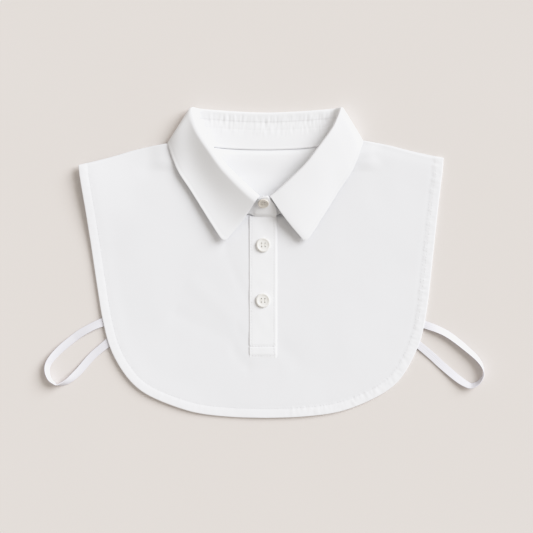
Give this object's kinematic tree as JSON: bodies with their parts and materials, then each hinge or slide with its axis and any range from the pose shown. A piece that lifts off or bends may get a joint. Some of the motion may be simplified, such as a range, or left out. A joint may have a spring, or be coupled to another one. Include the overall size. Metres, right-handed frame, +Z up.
{
  "type": "detachable shirt collar",
  "caption": "White cotton dickey laid flat: a folded point collar on a rounded front and back bib, with a half button placket and elastic loops at the sides, worn under a jumper",
  "frame": {"origin": "middle of the footprint, on the surface that the dickey lies on", "axes": "+X is the wearer's left when the front faces up, +Y runs from the hem to the back of the neck, +Z is up from the surface"},
  "size_m": [0.4394, 0.3105, 0.0189],
  "materials": {
    "cotton": "plain white shirt cotton, matt",
    "elastic": "flat woven elastic ribbon, matt",
    "button": "off-white pearly shirt button, satin"
  },
  "bodies": {
    "root": {"front_bib": "cotton", "back_bib": "cotton", "collar_stand": "cotton", "collar_leaf": "cotton", "placket": "cotton", "placket_underlap": "cotton", "button_upper": "button", "button_lower": "button", "button_stand": "button", "loop_left": "elastic", "loop_right": "elastic"}
  },
  "joints": []
}
